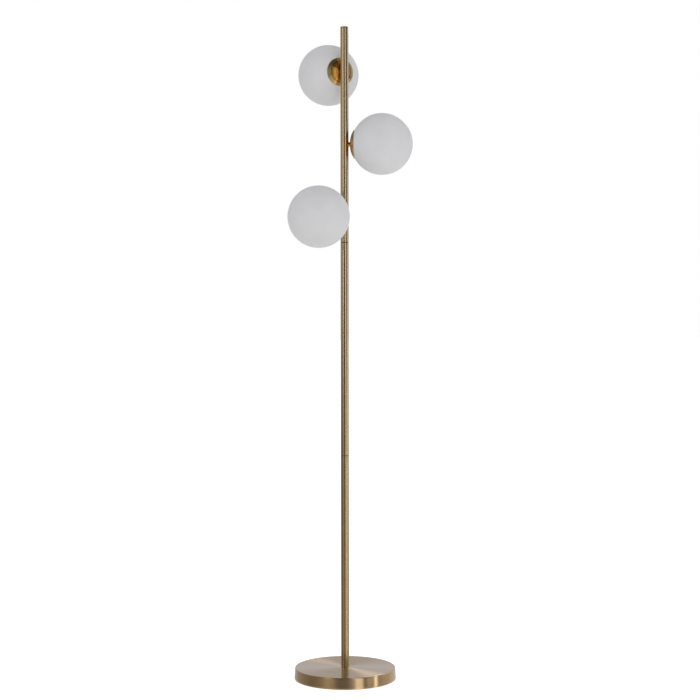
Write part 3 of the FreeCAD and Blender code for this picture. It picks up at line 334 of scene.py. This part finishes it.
GLOSS_TURN = 0.25  # of a whole turn, so that the gloss is drawn out across the brushed lines
BAND_LENGTH, BAND_WIDTH = 4, 90  # how many times the fine lines' length and width
BANDS_IN_TONE, HAZE_IN_GLOSS = 0.5, 0.8
SHADE_AT, BODY_AT, GLINT_AT = 0.28, 0.5, 0.74
HAZE_SCALE, HAZE_MOST = 22.0, 0.35
LINE_DEPTH, LINE_STRENGTH = 0.01 * MM, 0.15
# CREASE_SHADE is painted shade: the dark of a sharp inner corner, laid into the colour
CREASE_SHADE, CREASE_REACH = (0.09, 0.05, 0.02), 0.7 * MM


def brushed_brass(name, shade, body, glint, roughness, lines, anisotropy, crease=None):
    """Brass brushed round its axis: fine lines, wider bands and a little handling haze.

    Lines are how many there are in a turn and in a metre across. A crease is a place along V
    where shade is painted into a sharp inner corner.
    """
    finish = Finish(
        name, Metallic=1.0, Anisotropic=anisotropy, Anisotropic_Rotation=GLOSS_TURN
    )
    around = finish.add("ShaderNodeUVMap", uv_map=AROUND).outputs["UV"]
    turns, per_metre = lines
    fine_lines = finish.stretched(around, (turns, per_metre, 1))
    wide_bands = finish.stretched(around, (turns / BAND_LENGTH, per_metre / BAND_WIDTH, 1))
    fine = finish.noise(fine_lines, 1.0, detail=4.0)
    bands = finish.noise(wide_bands, 1.0, detail=2.0)
    haze = finish.noise(finish.place(), HAZE_SCALE)
    tone = finish.mixed(BANDS_IN_TONE, fine, bands)
    colour = finish.colours(tone, (SHADE_AT, shade), (BODY_AT, body), (GLINT_AT, glint))
    dulled_and_shaded = finish.mixed(finish.spread(haze, 0.0, HAZE_MOST), colour, shade)
    # painted shade: a thin dark line along the crease, over the haze-dulled colour
    if crease is not None:
        along = finish.add("ShaderNodeSeparateXYZ", {"Vector": around}).outputs["Y"]
        corner = finish.add(
            "ShaderNodeMath", {0: along, 1: crease, 2: CREASE_REACH}, operation="COMPARE"
        )
        dulled_and_shaded = finish.mixed(corner.outputs["Value"], dulled_and_shaded, CREASE_SHADE)
    finish.set("Base Color", dulled_and_shaded)
    worn = finish.mixed(HAZE_IN_GLOSS, fine, haze)
    finish.set("Roughness", finish.spread(worn, *roughness))
    finish.set("Normal", finish.bump(fine, LINE_DEPTH, LINE_STRENGTH))
    tangent = finish.add("ShaderNodeTangent", direction_type="UV_MAP", uv_map=AROUND)
    finish.set("Tangent", tangent.outputs["Tangent"])
    return finish.material


def opal_glass():
    """Blown opal glass with an etched, silky surface and faint clouding."""
    finish = Finish(
        "opal_glass", Subsurface_Weight=0.25, Subsurface_Scale=6 * MM,
        Subsurface_Radius=(1.0, 0.95, 0.9), IOR=1.5,
    )
    place = finish.place()
    clouds = finish.noise(place, scale=26.0, detail=4.0, roughness=0.6)
    etching = finish.noise(place, scale=2600.0, detail=2.0)
    colour = finish.colours(clouds, (0.3, (0.80, 0.795, 0.80)), (0.7, (0.83, 0.83, 0.835)))
    finish.set("Base Color", colour)
    finish.set("Roughness", finish.spread(clouds, 0.5, 0.6))
    finish.set("Normal", finish.bump(etching, depth=0.01 * MM, strength=0.3))
    return finish.material


CLOUD_SCALE, GRAIN_STRENGTH = 40.0, 0.6


def grained(name, dark, light, rough, grain, depth, metallic=0.0, **constants):
    """A plain finish for the other pieces: clouded colour, uneven gloss and a fine grain."""
    finish = Finish(name, Metallic=metallic, **constants)
    place = finish.place()
    clouds = finish.noise(place, CLOUD_SCALE, detail=4.0)
    grains = finish.noise(place, grain)
    finish.set("Base Color", finish.colours(clouds, (0.3, dark), (0.7, light)))
    finish.set("Roughness", finish.spread(finish.mixed(0.5, clouds, grains), *rough))
    finish.set("Normal", finish.bump(grains, depth, GRAIN_STRENGTH))
    return finish.material


# The step between the dish's dome and band, as a place along V: the dome's radius where it ends
# plus its place along the arm there, which lies this far short of the centre of the dome's arc.
DOME_CENTRE_AHEAD = math.sqrt(DOME_RADIUS**2 - (DOME_EDGE - DISH_FLAT) ** 2)
STEP_PLACE = DOME_EDGE + DISH_START + DOME_RADIUS - DOME_CENTRE_AHEAD

satin_brass = brushed_brass(
    "satin_brass", shade=(0.57, 0.432, 0.255), body=(0.61, 0.466, 0.278),
    glint=(0.65, 0.50, 0.30), roughness=(0.16, 0.20), lines=(5, 6000), anisotropy=0.8,
)
side_brass = brushed_brass(
    "side_brass", shade=(0.58, 0.43, 0.25), body=(0.62, 0.46, 0.27),
    glint=(0.66, 0.49, 0.29), roughness=(0.22, 0.27), lines=(9, 6000), anisotropy=0.8,
)
top_brass = brushed_brass(
    "top_brass", shade=(0.60, 0.455, 0.275), body=(0.63, 0.48, 0.295),
    glint=(0.66, 0.505, 0.315), roughness=(0.23, 0.27), lines=(6, 3000), anisotropy=0.96,
)
dome_brass = brushed_brass(
    "dome_brass", shade=(0.52, 0.25, 0.045), body=(0.64, 0.33, 0.07),
    glint=(0.76, 0.42, 0.11), roughness=(0.23, 0.27), lines=(3, 2600), anisotropy=0.96,
    crease=STEP_PLACE,
)
band_brass = brushed_brass(
    "band_brass", shade=(0.48, 0.36, 0.16), body=(0.58, 0.44, 0.21),
    glint=(0.68, 0.53, 0.28), roughness=(0.30, 0.36), lines=(4, 2600), anisotropy=0.92,
    crease=STEP_PLACE,
)
opal = opal_glass()
neck_brass = grained(
    "neck_brass", (0.46, 0.34, 0.17), (0.62, 0.48, 0.27), (0.24, 0.34), 1800.0, 0.01 * MM, 1.0
)
# Painted shade: a near-black brass for the pieces in the gaps between the tubes, standing for the
# shade that falls there
gap_shade_brass = grained(
    "gap_shade_brass", (0.10, 0.042, 0.014), (0.20, 0.09, 0.03), (0.3, 0.45), 1500.0, 0.01 * MM, 1.0
)
SLOT_FINISHES = {
    "satin_brass": neck_brass,
    "dish_brass": neck_brass,
    "opal_glass": opal,
    "cast_iron": grained(
        "cast_iron", (0.035, 0.036, 0.038), (0.06, 0.06, 0.062), (0.6, 0.8), 420.0, 0.25 * MM
    ),
    "zinc_steel": grained(
        "zinc_steel", (0.50, 0.51, 0.51), (0.66, 0.66, 0.63), (0.25, 0.4), 900.0, 0.01 * MM, 1.0
    ),
    "foam_pad": grained(
        "foam_pad", (0.012, 0.012, 0.012), (0.022, 0.022, 0.023), (0.85, 0.95), 700.0, 0.1 * MM
    ),
    "black_rubber": grained(
        "black_rubber", (0.014, 0.014, 0.014), (0.026, 0.026, 0.026), (0.5, 0.65), 900.0,
        0.03 * MM,
    ),
    "white_nylon": grained(
        "white_nylon", (0.72, 0.72, 0.69), (0.79, 0.79, 0.77), (0.35, 0.5), 1300.0, 0.015 * MM,
        Subsurface_Weight=0.15, Subsurface_Scale=2 * MM,
    ),
    "clear_silicone": grained(
        "clear_silicone", (0.60, 0.60, 0.58), (0.70, 0.70, 0.68), (0.3, 0.45), 800.0,
        0.01 * MM, Subsurface_Weight=0.5, Subsurface_Scale=2 * MM,
    ),
    "ceramic": grained(
        "ceramic", (0.76, 0.73, 0.67), (0.84, 0.82, 0.77), (0.12, 0.22), 500.0, 0.02 * MM,
        Coat_Weight=0.5, Coat_Roughness=0.08,
    ),
    "bulb_envelope": grained(
        "bulb_envelope", (0.86, 0.85, 0.80), (0.91, 0.90, 0.86), (0.3, 0.42), 1200.0, 0.01 * MM,
        Subsurface_Weight=0.3, Subsurface_Scale=3 * MM,
    ),
    "pin_nickel": grained(
        "pin_nickel", (0.60, 0.59, 0.56), (0.72, 0.71, 0.68), (0.15, 0.25), 1500.0,
        0.005 * MM, 1.0,
    ),
    "lead_sheath": grained(
        "lead_sheath", (0.70, 0.69, 0.65), (0.78, 0.77, 0.73), (0.45, 0.6), 900.0, 0.02 * MM
    ),
}

for node, slot in SLOTS.items():
    materials = frame["nodes"][node].data.materials
    materials.clear()
    materials.append(SLOT_FINISHES[slot])
# the joint pieces take the painted gap shade in place of their own finish
for node in ("joint_sockets", "joint_studs"):
    frame["nodes"][node].data.materials[0] = gap_shade_brass

# ---- Base cover: flat top, rolled edge, tapered side ------------------------------------------

edge_centre = (BASE_TOP_RADIUS - BASE_EDGE, BASE_TOP - BASE_EDGE)
cover_line = straight((COVER_HOLE, BASE_TOP), (edge_centre[0], BASE_TOP), COVER_TOP_RINGS)
cover_line += arc(edge_centre, BASE_EDGE, 90, 0, BASE_EDGE_STEPS)[1:]
cover_side = (BASE_TOP_RADIUS, edge_centre[1]), (BASE_RADIUS, BASE_FOOT)
cover_line += straight(*cover_side, COVER_SIDE_RINGS)[1:]
cover = turned("brushed_base_cover", cover_line, COVER_SIDES)
give_wall(cover, COVER_WALL)
lay_around(cover, -1)
cut_cord_hole(cover)
ease_edges(cover, COVER_EASE, angle=70, segments=2)
cover.data.materials.append(side_brass)
cover.data.materials.append(top_brass)
for face in cover.data.polygons:
    face.material_index = 1 if face.normal.z > FACING_UP else 0
smooth(cover)
settle(cover, "base_cover")

# ---- Pole: three tubes and the cap ------------------------------------------------------------

for order, node in enumerate(TUBES):
    foot = BASE_TOP + order * (TUBE_LENGTH + JOINT_GAP)
    top = foot + TUBE_LENGTH
    line = [(POLE_BORE, foot), (POLE_RADIUS - TUBE_EDGE, foot)]
    line += straight(
        (POLE_RADIUS, foot + TUBE_EDGE), (POLE_RADIUS, top - TUBE_EDGE), TUBE_RINGS
    )
    line += [(POLE_RADIUS - TUBE_EDGE, top), (POLE_BORE, top), (POLE_BORE, foot)]
    tube = turned(f"brushed_{node}", line, POLE_SIDES, closed=True)
    lay_around(tube, 1)
    tube.data.materials.append(satin_brass)
    tube.data.materials.append(gap_shade_brass)
    # the tubes' end faces, in the gaps between them, take the painted gap shade
    for face in tube.data.polygons:
        face.material_index = 1 if abs(face.normal.z) > FACING_ENDS else 0
    smooth(tube)
    settle(tube, node)

cap_line = [(POLE_BORE, CAP_STEM), (POLE_BORE, CAP_SEAT), (POLE_RADIUS, CAP_SEAT)]
cap_line += arc(
    (POLE_RADIUS - CAP_EDGE, CAP_TOP - CAP_EDGE), CAP_EDGE, 0, 90, CAP_EDGE_STEPS
)
cap_line += [(POLE_RADIUS * share, CAP_TOP) for share in CAP_TOP_RINGS] + [(0, CAP_TOP)]
cap = turned("brushed_pole_cap", cap_line, POLE_SIDES)
fill_foot(cap)
lay_around(cap, 1)
cap.data.materials.append(satin_brass)
smooth(cap)
settle(cap, "pole_cap")

# ---- Heads: spun dish and opal globe ----------------------------------------------------------


def dish_outline():
    """The dish's outer side: hole, flat, dome, step, band, rounded shoulder and straight rim."""
    dome_end = -math.degrees(math.acos((DOME_EDGE - DISH_FLAT) / DOME_RADIUS))
    dome_centre = (DISH_FLAT, DISH_START + DOME_RADIUS)
    dome = arc(dome_centre, DOME_RADIUS, -90, dome_end, DOME_STEPS)
    step = (dome[-1][0] + DISH_STEP, dome[-1][1] - DISH_STEP)
    slope = math.atan2(DISH_SHOULDER - step[1], DISH_RADIUS - step[0])
    tangent = DISH_ROUND * math.tan((math.pi / 2 - slope) / 2)
    band_end = (
        DISH_RADIUS - tangent * math.cos(slope), DISH_SHOULDER - tangent * math.sin(slope)
    )
    band = straight(step, band_end, BAND_RINGS)[:-1]
    round_centre = (DISH_RADIUS - DISH_ROUND, DISH_SHOULDER + tangent)
    shoulder = arc(round_centre, DISH_ROUND, math.degrees(slope) - 90, 0, RIM_STEPS)
    return [(DISH_HOLE, DISH_START)] + dome + band + shoulder + [(DISH_RADIUS, DISH_RIM)]


def globe_outline():
    """The globe's outer side, from its mouth to its far pole."""
    mouth_angle = math.degrees(math.asin(MOUTH_RADIUS / GLOBE_RADIUS))
    line = arc((0, GLOBE_REACH), GLOBE_RADIUS, mouth_angle - 90, 90, GLOBE_STEPS)
    return line[:-1] + [(0, GLOBE_REACH + GLOBE_RADIUS)]


for head, place in HEADS.items():
    dish = turned(f"{head}_spun_dish", dish_outline(), HEAD_SIDES)
    give_wall(dish, DISH_WALL)
    ease_edges(dish, DISH_EASE, angle=60, segments=2)
    lay_around(dish, 1)
    dish.data.materials.append(band_brass)
    dish.data.materials.append(dome_brass)
    for face in dish.data.polygons:
        reach = math.hypot(face.center.x, face.center.y)
        face.material_index = 1 if reach < DOME_EDGE and face.normal.z < 0 else 0
    smooth(dish)
    settle(dish, f"{head}_dish", place)

    globe = turned(f"{head}_opal_globe", globe_outline(), HEAD_SIDES)
    give_wall(globe, GLOBE_WALL)
    ease_edges(globe, MOUTH_EASE, angle=60, segments=3)
    lay_around(globe, 1)
    globe.data.materials.append(opal)
    smooth(globe, angle=50)
    settle(globe, f"{head}_globe", place)

# ---- Lamps: soft boxes round the pole ---------------------------------------------------------

CAMERA_BEARING = math.radians(-83.06)
SOFTBOX_DISTANCE = 3.0
WARM_WHITE, LEFT_WHITE, RIGHT_WHITE = (1.0, 0.98, 0.94), (1.0, 0.98, 0.95), (1.0, 0.99, 0.96)
COOL_WHITE, PLAIN_WHITE = (0.92, 0.96, 1.0), (1.0, 1.0, 1.0)
SOFTBOXES = [
    # name, degrees to the camera's right, height, width, tall, power, colour, height aimed at
    ("low_key_softbox", 31.5, -0.6, 0.95, 2.2, 6.8, WARM_WHITE, 0.8),
    ("high_key_softbox", 21, 1.6, 0.60, 2.2, 6.8, COOL_WHITE, 0.8),
    ("low_fill_softbox", 56, 0.25, 0.70, 0.9, 2.0, WARM_WHITE, 0.8),
    ("strip_softbox", 72, 0.2, 0.42, 2.8, 5.6, WARM_WHITE, 0.8),
    ("right_softbox", 94, 0.5, 0.80, 0.8, 1.8, RIGHT_WHITE, 0.8),
    ("left_softbox", -42, 1.7, 0.60, 1.8, 6.0, LEFT_WHITE, 0.8),
    ("back_softbox", 165, 2.5, 0.50, 0.9, 6, PLAIN_WHITE, 0.0),
]


def from_pole(right_of_camera, distance, height):
    """A place round the pole, by its angle in degrees from the camera to the camera's right."""
    bearing = CAMERA_BEARING + math.radians(right_of_camera)
    return Vector((distance * math.cos(bearing), distance * math.sin(bearing), height))


for name, right_of_camera, height, width, tall, power, colour, aim in SOFTBOXES:
    light = bpy.data.lights.new(name, "AREA")
    light.shape = "RECTANGLE"
    light.size, light.size_y = width, tall
    light.energy, light.color = power, colour
    lamp = bpy.data.objects.new(name, light)
    scene.collection.objects.link(lamp)
    lamp.location = from_pole(right_of_camera, SOFTBOX_DISTANCE, height)
    lamp.rotation_mode = "QUATERNION"
    to_pole = Vector((0, 0, aim)) - lamp.location
    lamp.rotation_quaternion = to_pole.to_track_quat("-Z", "Y")
    lamp.visible_camera = False

# ---- World: the studio round the lamp ---------------------------------------------------------

# The walls as the brass mirrors them: degrees to the camera's right, and the tone there.
LOW_WALLS = [
    (-180, (0.70, 0.69, 0.73)), (-134, (0.34, 0.32, 0.35)), (-107, (0.20, 0.165, 0.14)),
    (-87, (0.09, 0.075, 0.07)), (-70, (0.12, 0.10, 0.085)), (-55, (0.22, 0.175, 0.13)),
    (-40, (0.31, 0.25, 0.19)), (-27, (0.29, 0.235, 0.18)), (-13, (0.14, 0.115, 0.10)),
    (4, (0.14, 0.115, 0.10)), (15, (0.20, 0.17, 0.14)), (60, (0.17, 0.145, 0.12)),
    (97, (0.28, 0.24, 0.20)), (119, (0.47, 0.43, 0.39)), (134, (0.62, 0.60, 0.63)),
    (180, (0.70, 0.69, 0.73)),
]
HIGH_WALLS = [
    (-180, (0.60, 0.62, 0.72)), (-134, (0.54, 0.54, 0.60)), (-107, (0.50, 0.48, 0.48)),
    (-70, (0.40, 0.36, 0.32)), (-56, (0.40, 0.36, 0.32)), (-50, (0.54, 0.52, 0.48)),
    (-30, (0.54, 0.52, 0.48)), (-20, (0.03, 0.025, 0.02)), (8, (0.03, 0.025, 0.02)),
    (12, (0.36, 0.40, 0.50)), (33, (0.36, 0.40, 0.50)), (41, (0.10, 0.09, 0.08)),
    (62, (0.10, 0.09, 0.08)), (72, (0.36, 0.35, 0.34)), (100, (0.66, 0.66, 0.68)),
    (119, (0.98, 0.98, 1.02)), (134, (0.62, 0.63, 0.72)), (180, (0.60, 0.62, 0.72)),
]
# These run from straight down, 0, over level, 0.5, to straight up, 1.
EYE_LEVEL = [(0.46, (0, 0, 0)), (0.505, (1, 1, 1))]  # low walls below, high walls above
CEILING_SHADE = [(0.55, (1, 1, 1)), (0.68, (0.40, 0.36, 0.33)), (0.85, (0.30, 0.27, 0.25))]
REAR_CEILING_SHADE = [(0.6, (1, 1, 1)), (0.9, (0.95, 0.95, 0.95))]
FLOOR_TONES = [(0.0, (0.70, 0.68, 0.65)), (0.3, (0.40, 0.38, 0.36)), (0.4, (0, 0, 0))]
DOME_TONES = [(0.0, (0.62, 0.62, 0.63)), (0.5, (0.63, 0.63, 0.64)), (1.0, (0.54, 0.54, 0.55))]
# The rear ceiling starts, and is full, where a direction leans this far towards the camera.
REAR_CEILING = (0.2, -0.3)


def studio_world():
    """White backdrop for the camera, an even dome for matt surfaces and, in reflections, a dim
    room: walls that differ by bearing and above eye level, a shaded ceiling and a pale floor."""
    world = bpy.data.worlds.new("studio")
    scene.world = world
    world.use_nodes = True
    world.node_tree.nodes.clear()
    studio = Nodes(world.node_tree)
    direction = studio.add("ShaderNodeTexCoord").outputs["Generated"]

    def part_along(axis):
        inputs = {0: direction, 1: axis}
        dot = studio.add("ShaderNodeVectorMath", inputs, operation="DOT_PRODUCT")
        return dot.outputs["Value"]

    def glow(colour):
        return studio.add("ShaderNodeBackground", {"Color": colour}).outputs[0]

    def chosen(ray, other, when):
        inputs = {0: ray, 1: other, 2: when}
        return studio.add("ShaderNodeMixShader", inputs).outputs[0]

    up = studio.spread(part_along(Vector((0, 0, 1))), 0, 1, -1, 1)
    ahead, aside = part_along(from_pole(0, 1, 0)), part_along(from_pole(90, 1, 0))
    bearing = studio.add("ShaderNodeMath", {0: aside, 1: ahead}, operation="ARCTAN2")
    round_room = studio.spread(bearing.outputs[0], 0, 1, -math.pi, math.pi)
    low_walls, high_walls = (
        studio.colours(round_room, *[(0.5 + angle / 360, tone) for angle, tone in tones])
        for tones in (LOW_WALLS, HIGH_WALLS)
    )
    walls = studio.mixed(studio.colours(up, *EYE_LEVEL), low_walls, high_walls)
    ceiling = studio.mixed(
        studio.spread(ahead, 0, 1, *REAR_CEILING),
        studio.colours(up, *CEILING_SHADE), studio.colours(up, *REAR_CEILING_SHADE),
    )
    shaded = studio.mixed(1.0, walls, ceiling, "MULTIPLY")
    room = studio.mixed(1.0, shaded, studio.colours(up, *FLOOR_TONES), "ADD")
    ray = studio.add("ShaderNodeLightPath")
    dome = glow(studio.colours(up, *DOME_TONES))
    lit = chosen(ray.outputs["Is Glossy Ray"], dome, glow(room))
    seen = chosen(ray.outputs["Is Camera Ray"], lit, glow((1, 1, 1, 1)))
    studio.add("ShaderNodeOutputWorld", {"Surface": seen})


studio_world()

# ---- Floor and camera -------------------------------------------------------------------------

FLOOR_GLOW = 0.70  # lifts the floor that the camera sees to the backdrop's white
FLOOR_LIFT = 0.10  # the same floor's glow on the undersides of the globes
FLOOR_SIZE = 80
bpy.ops.object.select_all(action="DESELECT")
bpy.ops.mesh.primitive_plane_add(size=FLOOR_SIZE)
floor = bpy.context.object
floor.name = "floor"
paper = Finish("floor_paper", Roughness=0.8, Emission_Color=(1, 1, 1, 1))
camera_ray = paper.add("ShaderNodeLightPath").outputs["Is Camera Ray"]
paper.set("Emission Strength", paper.spread(camera_ray, FLOOR_LIFT, FLOOR_GLOW, 0, 1))
grain = paper.noise(paper.place(), 30.0)
paper.set("Base Color", paper.colours(grain, (0.3, (0.9, 0.9, 0.9)), (0.7, (0.92, 0.92, 0.92))))
floor.data.materials.append(paper.material)
floor.visible_glossy = False

CAMERA_DISTANCE, CAMERA_HEIGHT = 3.9133, 0.9171
CAMERA_DIP, CAMERA_TURN = 1.56, 0.19  # degrees down and to the right of the pole
CAMERA_ROLL = 0.07  # degrees clockwise
LENS, SENSOR = 82.0, 36.0  # in millimetres, as Blender has them
FARTHEST_SEEN = 200
camera = bpy.data.objects.new("camera", bpy.data.cameras.new("camera"))
scene.collection.objects.link(camera)
camera.data.lens, camera.data.sensor_width = LENS, SENSOR
camera.data.clip_end = FARTHEST_SEEN
camera.location = from_pole(0, CAMERA_DISTANCE, CAMERA_HEIGHT)
camera.rotation_euler = (
    math.radians(90 - CAMERA_DIP), math.radians(CAMERA_ROLL),
    CAMERA_BEARING + math.radians(90 - CAMERA_TURN),
)
scene.camera = camera
scene.view_settings.view_transform = "Standard"
scene.view_settings.look = "None"
